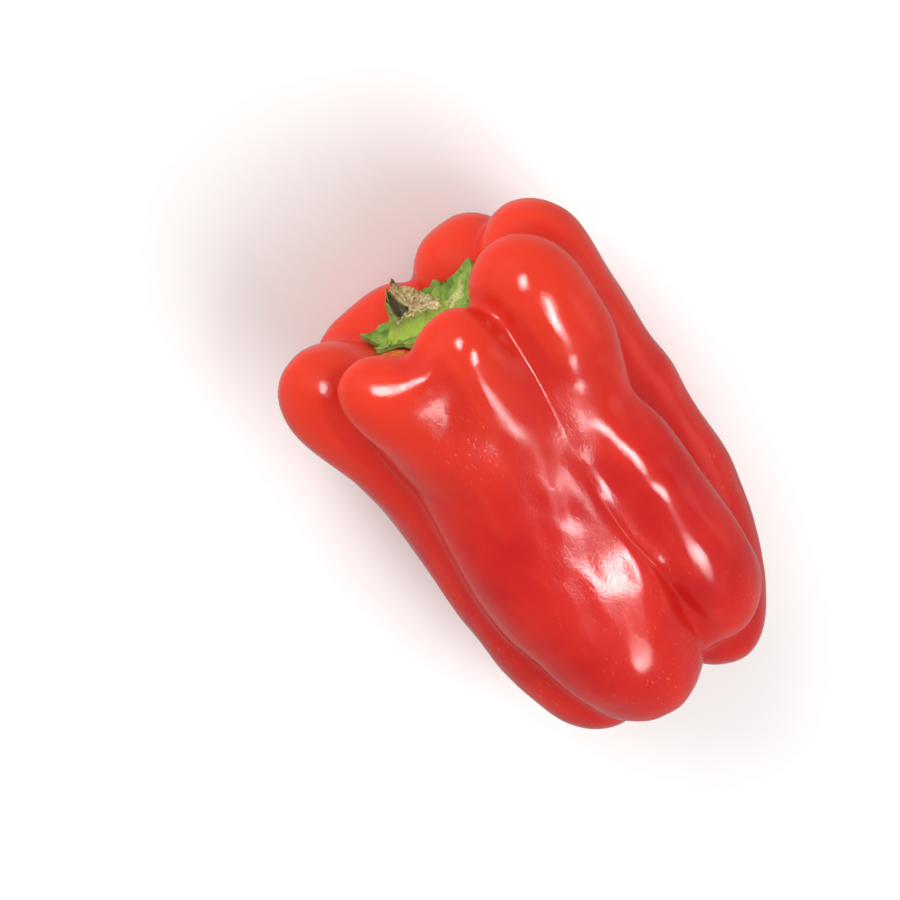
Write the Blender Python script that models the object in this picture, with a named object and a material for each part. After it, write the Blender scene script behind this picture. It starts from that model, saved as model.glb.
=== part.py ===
"""Bell pepper lying on its side, as picked, with its green calyx and torn stem.

Two pieces grew as they are modelled here: the lobed red fruit, and the green
calyx with its short stem in one piece. Lengths inside the script are in
millimetres; the meshes are made in metres with +Z up.

The fruit is described in its own frame first. Its x runs from the shoulders to
the blossom end, y across, and z from the side it lies on to its upper side.
Each lobe is a tube that swells and thins along a few stations, the tubes melt
into each other with smooth unions, and the skin is where rays from a rod on
the fruit's axis leave that union.
"""
import math

import bmesh
import bpy
import numpy as np

# driving dimensions, millimetres and degrees
MM = 0.001
FRUIT_AROUND = 80          # facets round the fruit
FRUIT_ALONG = 47           # rings from the stem pole to the blossom pole
REST_PITCH_DEG = 4.0       # tilt that brings shoulders and blossom end down to the surface
REST_SHIFT = (-65.424, 1.547, 39.05)   # puts the origin under the middle of the box
SEAT_X = 12.5              # depth of the hollow the calyx sits in
SEAT_RADIUS = 20.0
SEAT_ROUNDING = 7.0

# stations of each lobe: x, y, z and radius
LOBES = {
    "left": [
        (22, -22, 1, 9), (9.4, -33.8, 3, 12.7), (31, -28.8, 3, 12.2), (46, -26.5, 2, 12),
        (62, -25.8, 2, 12.3), (80, -26.2, 2, 12.5), (95, -25.6, 2, 12.4),
        (108, -23.6, 1, 12.2), (118, -20.5, 1, 12.0), (121, -13, 0, 10.5)],
    "left_back": [
        (26, -19, -9, 9), (15.0, -30, -9, 12.0), (31, -26, -9, 12.2), (46, -24.5, -9, 12.3),
        (62, -24, -9, 12.4), (80, -24, -9, 12.4), (95, -22.5, -8.5, 12.2),
        (108, -20, -7, 11.8), (116, -16, -5, 11.2)],
    "upper_a": [
        (24, -14, 15, 9), (13.6, -21.4, 25.2, 10.2), (25, -16.6, 21.4, 12.6), (40, -11.3, 19.3, 14),
        (51, -11.2, 18.3, 15.3), (64, -13.5, 17.3, 16.8), (77, -14.2, 17, 17.5),
        (90, -12.4, 17, 17.7), (103, -9.4, 16, 17.7), (112, -6.8, 13.5, 17.5)],
    "upper_b": [
        (24, 0, 18, 9), (11.9, -0.5, 29.3, 9.6), (18, -1.2, 27.6, 10.4), (26, -1.8, 24.5, 11.7),
        (34, -1.4, 21.8, 12.9), (42, -0.8, 19.0, 14.7), (51, 0.4, 15.7, 17.5), (61, 1.6, 13.2, 20.5),
        (72, 1.6, 13.2, 21.4), (82, -0.8, 16.2, 19.0), (91, -3.8, 18.6, 16.6), (103, -5.8, 16.4, 17)],
    "stem_side": [
        (8.8, -23.5, 26.4, 9.5), (11.9, -19.3, 27.8, 9.4), (12.9, -12.9, 29.6, 8.2),
        (10.8, -7.2, 29.7, 7.5), (8.3, -3.4, 29.2, 7.4), (8.3, -0.0, 29.0, 7.6), (10.7, 1.9, 29.4, 7.8)],
    "ridge_shoulder": [
        (22, 12, 15, 9), (8.7, 20.5, 21.7, 13.0), (22, 21.0, 22.3, 13.9),
        (29, 20.6, 20.5, 14.0), (36, 18.5, 17.6, 13.4)],
    "ridge": [
        (30, 17.0, 16, 11), (38, 17.2, 18.4, 13.2), (46, 16.4, 19.7, 13.2), (54, 17.5, 20.4, 13.1), (62, 19.3, 21.0, 13.1),
        (80, 19.9, 21.5, 13.2), (96, 20.5, 20.0, 13.0), (108, 19.5, 15.3, 12.6), (112, 12, 10, 11)],
    "saddle": [
        (17, 4.5, 23.6, 9.8), (24, 5.0, 23.2, 10.8), (34, 6.5, 20.4, 12.2), (46, 8, 17.0, 14)],
    "flank": [
        (16, -19, 12, 10), (26, -19.2, 12, 11.6), (40, -18.2, 12, 11.8), (55, -18.0, 12, 11.8),
        (70, -18, 12, 11.6), (84, -17, 12, 11.6)],
    "right": [
        (20, 20, 2, 9), (8.3, 29.4, 1, 12.3), (26, 29.4, 0, 13), (42, 29.3, -1, 13.4),
        (60, 29.3, -2, 13.7), (80, 28.8, -2, 13.9), (98, 27.2, -1, 13.5),
        (112, 23, 0, 12.8), (123.2, 17.5, 0, 12.4)],
    "right_back": [
        (24, 18, -9, 9), (14.4, 26.2, -10.5, 12.2), (26, 26, -11, 12.8), (42, 25.8, -11, 13.3),
        (60, 25.5, -11, 13.5), (80, 25, -11, 13.5), (98, 23, -9.5, 13.1),
        (112, 18.5, -7, 12.2), (119, 14.5, -5, 11.4)],
    "under_right": [
        (24, 12, -15, 9), (11.8, 14.2, -21.9, 15.0), (22, 15.5, -23, 14.9), (40, 14.5, -21, 15.2),
        (60, 14, -19.0, 15.4), (80, 13, -18.2, 15.8), (95, 11.5, -17.2, 15.6),
        (106, 9, -14.4, 14.2), (114, 6.5, -11, 12.5)],
    "under_a": [
        (28, -14, -13, 9), (15.0, -23.0, -19.5, 12.0), (32, -19.5, -20.5, 12.9),
        (48, -17.5, -19, 13.3), (68, -16, -17.5, 13.5), (88, -14.5, -16.5, 13.4),
        (104, -12, -13, 13.4), (114, -8, -9, 12)],
    "under_b": [
        (28, -5, -17, 9), (14.4, -9, -25.0, 11.9), (24, -9, -25.2, 12.0), (44, -8, -22.4, 12.5),
        (66, -8, -20.0, 12.7), (88, -8, -18.8, 12.9), (100, -7.5, -16.6, 13.6), (110, -6, -12, 12)],
}
CORE = [(40, 0, 0, 24), (60, 0, 0, 24), (90, 0, 0, 22), (104, 0, 0, 15)]

# soft dents and swellings: x, angle from the upper side, length, width, depth
DENTS = [
    (76, 4, 12, 9, 1.3), (44, 96, 7, 6, 0.8), (56, 88, 6, 5, -0.6), (70, 97, 8, 6, 0.8),
    (86, 90, 7, 6, -0.5), (60, 232, 14, 8, 1.0), (84, 150, 12, 8, 0.8), (50, 172, 9, 7, 0.6)]

# the rod that the rays leave from: two ends and their radii
ROD_TOP_X, ROD_TOP_R = 44.0, 19.0
ROD_END_X, ROD_END_R = 92.0, 10.0
RAY_START = 56.0

# calyx and stem
CALYX_AROUND = 72
CALYX_CENTRE = (-3.0, -0.8)      # y and z
CALYX_RADIUS = 17.0
CALYX_THICKNESS = 1.3
CALYX_GAP = 0.6
# pointed tips: angle from the upper side, length, lift
TIPS = [
    (18, 1.4, 1.0), (58, 1.4, 1.2), (102, 2.6, 4.5), (142, 1.3, 1.3),
    (192, 1.0, 0.4), (246, 1.8, 2.8), (287, 1.5, 1.4), (330, 1.4, 0.9)]
STEM_BASE = (-5.2, -0.4)
STEM_TOP = (-3.6, -0.9)
STEM_PROFILE = [(3.6, 9.6), (4.4, 9.0), (5.6, 8.0), (7.2, 6.7), (9.4, 5.7), (13.0, 5.0), (17.8, 2.4)]


def smooth_path(stations, per=5):
    """Stations joined by a curve through every one of them."""
    k = np.array(stations, float)
    p = np.vstack([2 * k[0] - k[1], k, 2 * k[-1] - k[-2]])
    out = []
    for i in range(1, len(p) - 2):
        t = np.linspace(0, 1, per, endpoint=False)[:, None]
        p0, p1, p2, p3 = p[i - 1:i + 3]
        out.append(0.5 * (2 * p1 + (p2 - p0) * t + (2 * p0 - 5 * p1 + 4 * p2 - p3) * t ** 2
                          + (3 * p1 - p0 - 3 * p2 + p3) * t ** 3))
    out.append(p[-2][None])
    return np.vstack(out)


def tube(points, path):
    """Distance from points to a tube whose radius changes along its path."""
    best = np.full(len(points), 1e9)
    for a, b in zip(path[:-1], path[1:]):
        ab = b[:3] - a[:3]
        rel = points - a[:3]
        t = np.clip(rel @ ab / (ab @ ab), 0, 1)
        d = np.linalg.norm(rel - t[:, None] * ab, axis=1) - (a[3] + t * (b[3] - a[3]))
        best = np.minimum(best, d)
    return best


def melt(a, b, k):
    """Union of two distances, rounded over a width k where they meet."""
    h = np.clip(0.5 + 0.5 * (b - a) / k, 0, 1)
    return b + (a - b) * h - k * h * (1 - h)


def ramp(x, a, b):
    """Smooth step from 0 at a to 1 at b."""
    t = np.clip((x - a) / (b - a), 0, 1)
    return t * t * (3 - 2 * t)


def seat(points):
    """Distance to the rounded drum whose top is the floor of the stem hollow."""
    half = 14.0
    qr = np.hypot(points[:, 1], points[:, 2]) - (SEAT_RADIUS - SEAT_ROUNDING)
    qx = np.abs(points[:, 0] - SEAT_X - half) - (half - SEAT_ROUNDING)
    outside = np.hypot(np.maximum(qr, 0), np.maximum(qx, 0))
    return outside + np.minimum(np.maximum(qr, qx), 0) - SEAT_ROUNDING


PATHS = {name: smooth_path(stations) for name, stations in LOBES.items()}
CORE_PATH = smooth_path(CORE, 2)


def field(points):
    """Distance to the whole fruit: negative inside, zero on its skin."""
    x = points[:, 0]
    lobe = {name: tube(points, path) for name, path in PATHS.items()}
    waist = ramp(x, 16, 40) * (1 - ramp(x, 88, 112))
    upper = melt(lobe["upper_a"], lobe["upper_b"], 10.0 - 2.0 * ramp(x, 20, 40))
    upper = melt(melt(upper, lobe["stem_side"], 3.0), lobe["flank"], 8.0)
    upper = melt(upper, lobe["saddle"], 6.0)
    ridge = melt(lobe["ridge_shoulder"], lobe["ridge"], 5.0)
    under = melt(lobe["under_a"], lobe["under_b"], 12.0)
    core = melt(tube(points, CORE_PATH), seat(points), 3.0)
    d = melt(melt(upper, ridge, 3.0 + 3.0 * ramp(x, 18, 34) * (1 - ramp(x, 44, 54))
                  + 2.5 * ramp(x, 54, 66) * (1 - ramp(x, 82, 98))), core, 4.0)
    left = melt(lobe["left"], lobe["left_back"], 10.0)
    right = melt(lobe["right"], lobe["right_back"], 10.0)
    side = melt(melt(under, left, 4.0 + 6.0 * waist), core, 4.0)
    side = melt(side, lobe["under_right"], 4.0 + 7.0 * waist)
    side = melt(side, right, 4.0 + 5.0 * waist)
    soft = ramp(x, 20, 42) * (1 - ramp(x, 66, 98)) * (1 - ramp(points[:, 1], -10, 5))
    return melt(d, side, 3.0 - 0.5 * soft)


def rays(around, along):
    """Start points on the rod and directions, as a grid of rings."""
    spread = 24.0
    lengths = [ROD_TOP_R, spread * math.pi / 2, ROD_END_X - ROD_TOP_X, spread * math.pi / 2, ROD_END_R]
    edge = np.cumsum([0.0] + lengths)
    s = np.linspace(0, edge[-1], along)
    rho = np.interp(s, edge, [0, ROD_TOP_R, ROD_TOP_R, ROD_END_R, ROD_END_R, 0])
    x0 = np.interp(s, edge, [ROD_TOP_X] * 3 + [ROD_END_X] * 3)
    turn = np.interp(s, edge, np.radians([0, 0, 90, 90, 180, 180]))
    psi = np.linspace(0, 2 * math.pi, around, endpoint=False)
    ring = np.ones(around)

    def as_grid(along_x, across):
        return np.stack([along_x[:, None] * ring, across[:, None] * np.sin(psi),
                         across[:, None] * np.cos(psi)], -1)

    return as_grid(x0, rho), as_grid(-np.cos(turn), np.sin(turn))


def trace(start, direction, t):
    """Walk each ray in from outside until it meets the skin."""
    live = np.arange(len(start))
    for _ in range(40):
        f = field(start[live] + t[live, None] * direction[live])
        t[live] -= 0.95 * f
        live = live[np.abs(f) > 0.01]
        if len(live) == 0:
            break
    return t


def fruit_grid(around, along):
    """Grid of points on the fruit's skin, in the fruit's own frame."""
    start, direction = rays(around, along)
    o, d = start.reshape(-1, 3), direction.reshape(-1, 3)
    t = trace(o, d, np.full(len(o), RAY_START))
    grid = (o + t[:, None] * d).reshape(start.shape)
    x, y, z = grid[..., 0], grid[..., 1], grid[..., 2]
    rho = np.hypot(y, z)
    angle = np.degrees(np.arctan2(y, z))
    sink = np.zeros_like(x)
    for x0, a0, length, width, depth in DENTS:
        side = np.radians((angle - a0 + 180) % 360 - 180) * rho
        sink += depth * np.exp(-((x - x0) / length) ** 2 - (side / width) ** 2) * ramp(rho, 14, 20)
    return grid - sink[..., None] * direction


def to_world(points):
    """Turn and shift from the fruit's frame to the pose it rests in."""
    a = math.radians(REST_PITCH_DEG)
    x, y, z = points[..., 0], points[..., 1], points[..., 2]
    out = np.stack([x * math.cos(a) + z * math.sin(a), y, z * math.cos(a) - x * math.sin(a)], -1)
    return out + np.array(REST_SHIFT)


def tip_sum(angle, column, width):
    """Sum of pointed bumps at the calyx tips, by length or by lift."""
    total = np.zeros_like(angle)
    for tip in TIPS:
        off = np.abs((np.degrees(angle) - tip[0] + 180) % 360 - 180)
        total += tip[column] * np.exp(-(off / width) ** 1.4)
    return total


def calyx_point(radius, angle, height):
    """Points over the calyx plane at a radius, angle and height above the seat."""
    return np.stack([SEAT_X - height, CALYX_CENTRE[0] + radius * np.sin(angle),
                     CALYX_CENTRE[1] + radius * np.cos(angle)], -1)


def clear_radius(radius, angle, height):
    """Draw the rim in wherever it would touch the shoulders."""
    for _ in range(12):
        radius = radius - np.maximum(0.0, 0.9 - field(calyx_point(radius, angle, height)))
    return radius


def clear_height(radius, angle, height, gap):
    """Lift a ring wherever it is nearer to the fruit than the gap."""
    for _ in range(16):
        height = height + 1.2 * np.maximum(0.0, gap - field(calyx_point(radius, angle, height)))
    return height


def stem_rim(angle):
    """Height of the torn rim: high at the back and left, low at the right."""
    deg = np.degrees(angle)
    spur = np.exp(-(((deg - 184 + 180) % 360 - 180) / 19) ** 2)
    gap = np.exp(-(((deg - 303 + 180) % 360 - 180) / 25) ** 2)
    return 10.6 + 4.2 * np.cos(np.radians(deg - 240)) + 0.5 * np.sin(np.radians(5 * deg)) + 3.2 * spur - 4.6 * gap


def calyx_grid():
    """Rings from under the calyx, over its rim and up the stem to its torn end."""
    angle = np.linspace(0, 2 * math.pi, CALYX_AROUND, endpoint=False)
    sin, cos = np.sin(angle), np.cos(angle)
    radius = CALYX_RADIUS + 0.4 * np.cos(3 * angle + 1) + tip_sum(angle, 1, 8)
    lift = 2.0 + 0.7 * np.cos(angle - 1.2) + 0.35 * np.sin(5 * angle + 0.6) + tip_sum(angle, 2, 11)
    rib = tip_sum(angle, 1, 7) / 1.5
    radius = clear_radius(radius, angle, lift + 3.0)
    rings = []

    def ring(centre, r, height):
        rings.append(np.stack([SEAT_X - height, centre[0] + r * sin, centre[1] + r * cos], -1))

    def between(f):
        return tuple(a + (b - a) * f for a, b in zip(CALYX_CENTRE, STEM_BASE))

    for f in (0.0, 0.25, 0.5, 0.7, 0.86, 1.0):
        low = clear_height(radius * f, angle, np.maximum(-3.0, (lift + 2.0) * f ** 4 - 2.0), CALYX_GAP)
        ring(CALYX_CENTRE, radius * f, low)
    edge = low + CALYX_THICKNESS
    ring(CALYX_CENTRE, radius, edge)
    for f, level in ((0.93, 0.15), (0.8, 0.45), (0.67, 0.8), (0.55, 1.0)):
        top = edge + (3.6 + 0.4 * rib - edge) * level
        ring(between(1 - f), radius * f, clear_height(radius * f, angle, top, CALYX_GAP + 1.2))
    rim = stem_rim(angle)
    heights, radii = zip(*STEM_PROFILE)
    for f in (0.0, 0.05, 0.13, 0.3, 0.55, 0.8, 1.0):
        h = 4.0 + f * (rim - 4.0)
        g = h / heights[-1]
        centre = [a + (b - a) * g for a, b in zip(STEM_BASE, STEM_TOP)]
        ring(centre, np.interp(h, heights, radii) * (1 + 0.06 * np.cos(5 * angle)), h)
    middle = rim.mean()
    hollow = np.exp(-(((np.degrees(angle) - 300 + 180) % 360 - 180) / 55) ** 2)
    for f, drop in ((0.72, 0.9), (0.4, 1.3), (0.0, 0.6)):
        h = middle + (rim - middle) * f - drop - 2.4 * hollow * math.sin(math.pi * f)
        centre = [a + (b - a) * middle / heights[-1] for a, b in zip(STEM_BASE, STEM_TOP)]
        ring(centre, 3.9 * f * np.ones_like(angle), h)
    return np.stack(rings)


def skin_mesh(name, grid):
    """Closed mesh from a grid of rings whose first and last shrink to a point."""
    first, last = grid[0].mean(axis=0), grid[-1].mean(axis=0)
    body = grid[1:-1]
    along, around = body.shape[:2]
    mesh = bpy.data.meshes.new(name)
    bm = bmesh.new()
    verts = [[bm.verts.new(p * MM) for p in row] for row in body]
    north, south = bm.verts.new(first * MM), bm.verts.new(last * MM)
    for j in range(around):
        k = (j + 1) % around
        bm.faces.new((north, verts[0][k], verts[0][j]))
        bm.faces.new((south, verts[-1][j], verts[-1][k]))
        for i in range(along - 1):
            bm.faces.new((verts[i][j], verts[i][k], verts[i + 1][k], verts[i + 1][j]))
    bmesh.ops.recalc_face_normals(bm, faces=bm.faces)
    bmesh.ops.triangulate(bm, faces=bm.faces, quad_method="SHORT_EDGE")
    bm.to_mesh(mesh)
    bm.free()
    mesh.shade_smooth()
    obj = bpy.data.objects.new(name, mesh)
    bpy.context.scene.collection.objects.link(obj)
    return obj


def principled(name, colour, roughness, metallic=0.0):
    mat = bpy.data.materials.new(name)
    mat.use_nodes = True
    shader = mat.node_tree.nodes["Principled BSDF"]
    shader.inputs["Base Color"].default_value = (*colour, 1.0)
    shader.inputs["Roughness"].default_value = roughness
    shader.inputs["Metallic"].default_value = metallic
    mat.diffuse_color = (*colour, 1.0)
    return mat


def build():
    for old in list(bpy.data.objects):
        bpy.data.objects.remove(old, do_unlink=True)
    skin = to_world(fruit_grid(FRUIT_AROUND, FRUIT_ALONG))
    skin[..., 2] = np.maximum(skin[..., 2], 0.0)   # flat spots that it rests on
    fruit = skin_mesh("fruit", skin)
    fruit.data.materials.append(principled("red_skin", (0.70, 0.035, 0.018), 0.22))
    green = skin_mesh("calyx", to_world(calyx_grid()))
    green.data.materials.append(principled("green_calyx", (0.24, 0.36, 0.035), 0.55))
    corners = np.array([v.co for piece in (fruit, green) for v in piece.data.vertices]) / MM
    low, high = corners.min(axis=0), corners.max(axis=0)
    print("box in mm from", low.round(3), "to", high.round(3), "middle", ((low + high) / 2).round(3))
    for piece in (fruit, green):
        print(piece.name, len(piece.data.polygons), "triangles")


build()
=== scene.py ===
# %% [markdown]
# # A bell pepper, lying where it was put down
#
# A ripe red pepper is two things that grew together: a hollow lobed fruit with a
# glossy waxed skin, and a green calyx that runs up into a short stem, torn off
# when it was picked. In this lesson both are worked out as surfaces on a grid:
# every point is a function of two numbers, one round the piece and one along it.
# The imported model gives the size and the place, and these finer skins replace it.

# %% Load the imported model
import math
import bpy
from mathutils import Matrix
import numpy as np


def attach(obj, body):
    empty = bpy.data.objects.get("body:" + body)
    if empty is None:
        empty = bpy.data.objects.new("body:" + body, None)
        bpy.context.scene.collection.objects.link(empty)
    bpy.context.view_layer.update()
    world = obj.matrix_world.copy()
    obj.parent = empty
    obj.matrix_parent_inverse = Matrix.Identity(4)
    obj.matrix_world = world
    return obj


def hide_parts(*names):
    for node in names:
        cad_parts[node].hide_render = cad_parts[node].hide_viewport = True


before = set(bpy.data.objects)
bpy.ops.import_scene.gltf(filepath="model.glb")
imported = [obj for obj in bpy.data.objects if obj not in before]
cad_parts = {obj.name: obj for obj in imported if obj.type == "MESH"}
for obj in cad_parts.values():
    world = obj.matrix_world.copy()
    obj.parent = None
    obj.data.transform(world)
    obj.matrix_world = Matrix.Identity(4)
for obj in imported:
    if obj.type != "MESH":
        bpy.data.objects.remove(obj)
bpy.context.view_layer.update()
print("packed nodes:", sorted(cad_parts))

# %% [markdown]
# ## The pose it lies in
#
# A shape is easiest to describe in its own frame: here x runs from the shoulders
# to the blossom end, y across and z from the side it lies on to its upper side,
# all in millimetres. One small turn and one shift then lay it on the floor. The
# turn could be an object rotation, but a finished piece keeps its place in its
# mesh, so the points themselves are turned.

# %% From the fruit's frame to the floor
MM = 0.001
REST_PITCH = math.radians(4.0)
REST_SHIFT = np.array([-65.424, 1.547, 39.05])


def laid_down(points):
    """Turn points by the pitch a about y, then shift them to where they lie.

    The turn is x' = x cos a + z sin a and z' = z cos a - x sin a.
    """
    x, y, z = points[..., 0], points[..., 1], points[..., 2]
    c, s = math.cos(REST_PITCH), math.sin(REST_PITCH)
    return np.stack([x * c + z * s, y, z * c - x * s], -1) + REST_SHIFT


def turned(direction):
    """The same turn for a direction, which has no place and so takes no shift."""
    return laid_down(np.array(direction, float)) - REST_SHIFT


print("the shoulders' middle lies at", laid_down(np.zeros(3)).round(2), "mm")

# %% [markdown]
# ## The camera
#
# The photograph looks along the fruit from above its stem end, with a long lens.
# The camera is set from that view: its distance, the point it looks at, and how
# far the fruit's long axis is turned in the picture. The three directions of the
# view are built from two angles, and a long lens keeps the shoulders from
# looking too large.

# %% Place the camera
VIEW_TILT = math.radians(20.0)      # how far the view leans toward the stem end
VIEW_ROLL = math.radians(55.5)      # how far the long axis is turned in the picture
VIEW_DISTANCE = 650.0
PICTURE_WIDTH = 225.0               # millimetres across the picture at the fruit's axis
SENSOR_WIDTH = 36.0
LOOK_ALONG, LOOK_ACROSS = 38.7, -16.4
along_view = np.array([math.cos(VIEW_TILT), 0.0, math.sin(VIEW_TILT)])
across_view = np.array([0.0, 1.0, 0.0])
toward_eye = np.array([-math.sin(VIEW_TILT), 0.0, math.cos(VIEW_TILT)])
picture_right = along_view * math.cos(VIEW_ROLL) + across_view * math.sin(VIEW_ROLL)
picture_up = across_view * math.cos(VIEW_ROLL) - along_view * math.sin(VIEW_ROLL)
look_at = LOOK_ALONG * along_view + LOOK_ACROSS * across_view


def place_facing(obj, right, up, back, at):
    """Give an object its three directions and its place, all in the fruit's frame."""
    m = np.eye(4)
    for column, direction in enumerate((right, up, back)):
        m[:3, column] = turned(direction)
    m[:3, 3] = laid_down(at) * MM
    obj.matrix_world = Matrix(m.tolist())


camera_data = bpy.data.cameras.new("camera")
camera_data.sensor_width = SENSOR_WIDTH
camera_data.lens = SENSOR_WIDTH * VIEW_DISTANCE / PICTURE_WIDTH
camera = bpy.data.objects.new("camera", camera_data)
bpy.context.scene.collection.objects.link(camera)
place_facing(camera, picture_right, picture_up, toward_eye, look_at + VIEW_DISTANCE * toward_eye)
bpy.context.scene.camera = camera
camera_at = [round(c, 3) for c in camera.matrix_world.translation]
print("lens", round(camera_data.lens, 1), "mm, camera at", camera_at)

# %% [markdown]
# ## The lobes
#
# A pepper grows in lobes, each swollen at the shoulder and again toward the
# blossom end. A sculptor could push a ball about; here each lobe is a tube that
# changes its radius along a few stations, because stations can be read off the
# photograph and changed one at a time. A curve through the stations keeps the
# tube free of kinks.

# %% Stations of each lobe: x, y, z and radius
LOBES = {
    "left": [
        (22, -22, 1, 9), (9.4, -33.8, 3, 12.7), (31, -28.8, 3, 12.2), (46, -26.5, 2, 12),
        (62, -25.8, 2, 12.3), (80, -26.2, 2, 12.5), (95, -25.6, 2, 12.4),
        (108, -23.6, 1, 12.2), (118, -20.5, 1, 12.0), (121, -13, 0, 10.5)],
    "left_back": [
        (26, -19, -9, 9), (15.0, -30, -9, 12.0), (31, -26, -9, 12.2), (46, -24.5, -9, 12.3),
        (62, -24, -9, 12.4), (80, -24, -9, 12.4), (95, -22.5, -8.5, 12.2),
        (108, -20, -7, 11.8), (116, -16, -5, 11.2)],
    "upper_a": [
        (24, -14, 15, 9), (13.6, -21.4, 25.2, 10.2), (25, -16.6, 21.4, 12.6),
        (40, -11.3, 19.3, 14),
        (51, -11.2, 18.3, 15.3), (64, -13.5, 17.3, 16.8), (77, -14.2, 17, 17.5),
        (90, -12.4, 17, 17.7), (103, -9.4, 16, 17.7), (112, -6.8, 13.5, 17.5)],
    "upper_b": [
        (24, 0, 18, 9), (11.9, -0.5, 29.3, 9.6), (18, -1.2, 27.6, 10.4), (26, -1.8, 24.5, 11.7),
        (34, -1.4, 21.8, 12.9), (42, -0.8, 19.0, 14.7), (51, 0.4, 15.7, 17.5),
        (61, 1.6, 13.2, 20.5), (72, 1.6, 13.2, 21.4), (82, -0.8, 16.2, 19.0),
        (91, -3.8, 18.6, 16.6), (103, -5.8, 16.4, 17)],
    "stem_side": [
        (8.8, -23.5, 26.4, 9.5), (11.9, -19.3, 27.8, 9.4), (12.9, -12.9, 29.6, 8.2),
        (10.8, -7.2, 29.7, 7.5), (8.3, -3.4, 29.2, 7.4), (8.3, -0.0, 29.0, 7.6),
        (10.7, 1.9, 29.4, 7.8)],
    "ridge_shoulder": [
        (22, 12, 15, 9), (8.7, 20.5, 21.7, 13.0), (22, 21.0, 22.3, 13.9),
        (29, 20.6, 20.5, 14.0), (36, 18.5, 17.6, 13.4)],
    "ridge": [
        (30, 17.0, 16, 11), (38, 17.2, 18.4, 13.2), (46, 16.4, 19.7, 13.2),
        (54, 17.5, 20.4, 13.1), (62, 19.3, 21.0, 13.1), (80, 19.9, 21.5, 13.2),
        (96, 20.5, 20.0, 13.0), (108, 19.5, 15.3, 12.6), (112, 12, 10, 11)],
    "saddle": [
        (17, 4.5, 23.6, 9.8), (24, 5.0, 23.2, 10.8), (34, 6.5, 20.4, 12.2), (46, 8, 17.0, 14)],
    "flank": [
        (16, -19, 12, 10), (26, -19.2, 12, 11.6), (40, -18.2, 12, 11.8), (55, -18.0, 12, 11.8),
        (70, -18, 12, 11.6), (84, -17, 12, 11.6)],
    "right": [
        (20, 20, 2, 9), (8.3, 29.4, 1, 12.3), (26, 29.4, 0, 13), (42, 29.3, -1, 13.4),
        (60, 29.3, -2, 13.7), (80, 28.8, -2, 13.9), (98, 27.2, -1, 13.5),
        (112, 23, 0, 12.8), (123.2, 17.5, 0, 12.4)],
    "right_back": [
        (24, 18, -9, 9), (14.4, 26.2, -10.5, 12.2), (26, 26, -11, 12.8), (42, 25.8, -11, 13.3),
        (60, 25.5, -11, 13.5), (80, 25, -11, 13.5), (98, 23, -9.5, 13.1),
        (112, 18.5, -7, 12.2), (119, 14.5, -5, 11.4)],
    "under_right": [
        (24, 12, -15, 9), (11.8, 14.2, -21.9, 15.0), (22, 15.5, -23, 14.9), (40, 14.5, -21, 15.2),
        (60, 14, -19.0, 15.4), (80, 13, -18.2, 15.8), (95, 11.5, -17.2, 15.6),
        (106, 9, -14.4, 14.2), (114, 6.5, -11, 12.5)],
    "under_a": [
        (28, -14, -13, 9), (15.0, -23.0, -19.5, 12.0), (32, -19.5, -20.5, 12.9),
        (48, -17.5, -19, 13.3), (68, -16, -17.5, 13.5), (88, -14.5, -16.5, 13.4),
        (104, -12, -13, 13.4), (114, -8, -9, 12)],
    "under_b": [
        (28, -5, -17, 9), (14.4, -9, -25.0, 11.9), (24, -9, -25.2, 12.0), (44, -8, -22.4, 12.5),
        (66, -8, -20.0, 12.7), (88, -8, -18.8, 12.9), (100, -7.5, -16.6, 13.6), (110, -6, -12, 12)],
}
CORE = [(40, 0, 0, 24), (60, 0, 0, 24), (90, 0, 0, 22), (104, 0, 0, 15)]


def smooth_path(stations, per=5):
    """A cubic through every station: each span blends its four nearest stations by powers of t."""
    k = np.array(stations, float)
    p = np.vstack([2 * k[0] - k[1], k, 2 * k[-1] - k[-2]])
    out = []
    for i in range(1, len(p) - 2):
        t = np.linspace(0, 1, per, endpoint=False)[:, None]
        p0, p1, p2, p3 = p[i - 1:i + 3]
        out.append(0.5 * (2 * p1 + (p2 - p0) * t + (2 * p0 - 5 * p1 + 4 * p2 - p3) * t ** 2
                          + (3 * p1 - p0 - 3 * p2 + p3) * t ** 3))
    out.append(p[-2][None])
    return np.vstack(out).astype(np.float32)


PATHS = {name: smooth_path(stations) for name, stations in LOBES.items()}
CORE_PATH = smooth_path(CORE, 2)
print(len(PATHS), "lobes,", sum(len(path) for path in PATHS.values()), "points along them")

# %% [markdown]
# ## One skin over all of them
#
# The lobes must melt into one skin with soft grooves. Joining meshes would leave
# hard seams, so the fruit is described by distance instead: how far is a point
# from each tube, and a rounded smallest-of-two joins those numbers. The rounding
# is narrow at the shoulders, where the grooves are deep, and wide along the
# waist, where they nearly vanish. Its widths, like all lengths of the shape, are
# in millimetres.

# %% Distances
SEAT_X, SEAT_RADIUS, SEAT_ROUNDING, SEAT_HALF = 12.5, 20.0, 7.0, 14.0


def tube(points, path):
    """Smallest over the path's pieces of distance to the piece less the radius there."""
    best = np.full(len(points), 1e9, np.float32)
    px, py, pz = points[:, 0], points[:, 1], points[:, 2]
    for a, b in zip(path[:-1], path[1:]):
        ab = b[:3] - a[:3]
        qx, qy, qz = px - a[0], py - a[1], pz - a[2]
        t = np.clip((qx * ab[0] + qy * ab[1] + qz * ab[2]) / np.float32(ab @ ab), 0, 1)
        qx = qx - t * ab[0]
        qy = qy - t * ab[1]
        qz = qz - t * ab[2]
        best = np.minimum(best, np.sqrt(qx * qx + qy * qy + qz * qz) - (a[3] + t * (b[3] - a[3])))
    return best


def melt(a, b, k):
    """The smaller of two distances, with the corner between them rounded over a width k."""
    h = np.clip(0.5 + 0.5 * (b - a) / k, 0, 1)
    return b + (a - b) * h - k * h * (1 - h)


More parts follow.
